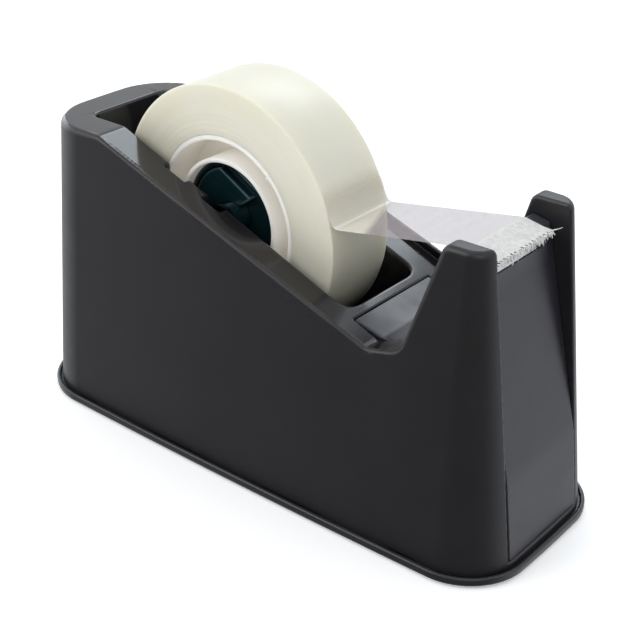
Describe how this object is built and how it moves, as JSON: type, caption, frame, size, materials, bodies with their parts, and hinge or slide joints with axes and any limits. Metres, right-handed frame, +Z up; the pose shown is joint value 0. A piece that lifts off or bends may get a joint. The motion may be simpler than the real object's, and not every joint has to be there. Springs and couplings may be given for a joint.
{
  "type": "desktop tape dispenser",
  "caption": "Weighted desktop tape dispenser: tapered housing with a sloping open well, a hub that lifts out with its roll of clear tape, twin front cheeks and a toothed cutter.",
  "frame": {"origin": "centre of the base on the surface that the dispenser stands on", "axes": "+X from the tape roll towards the cutter, +Y across the width, +Z up"},
  "size_m": [0.1394, 0.0512, 0.0862],
  "materials": {
    "housing": "charcoal moulded plastic, satin",
    "cover": "dark grey moulded plastic, satin",
    "rest": "dark blue-grey moulded plastic",
    "cutter": "stamped steel strip",
    "base": "near-black moulded plastic",
    "grip": "foam rubber",
    "fastener": "zinc-plated steel",
    "weight": "rough casting",
    "foam": "closed-cell foam",
    "axle": "turned steel",
    "hub": "dark teal moulded plastic",
    "core": "white moulded plastic",
    "tape_side": "frosted film wound tight",
    "tape_film": "clear matt film"
  },
  "bodies": {
    "root": {"housing": "housing", "front_cover": "cover", "tape_rest": "rest", "cutter_blade": "cutter", "base_plate": "base", "grip_pad": "grip", "base_screws": "fastener", "cover_screws": "fastener", "rear_ballast": "weight", "front_ballast": "weight", "ballast_pads": "foam"},
    "carrier": {"hub_axle": "axle", "axle_clip": "fastener", "tape_strip": "tape_film"},
    "spool": {"hub_drum": "hub", "hub_cap": "hub", "tape_core": "core", "tape_roll": "tape_side"}
  },
  "joints": [
    {"name": "spool_lift", "type": "slide", "parent": "root", "child": "carrier", "axis": [0, 0, 1], "range_m": [0, 0.055]},
    {"name": "spool_spin", "type": "hinge", "parent": "carrier", "child": "spool", "pos_m": [-0.0128, 0, 0.0555], "axis": [0, 1, 0], "continuous": true}
  ]
}
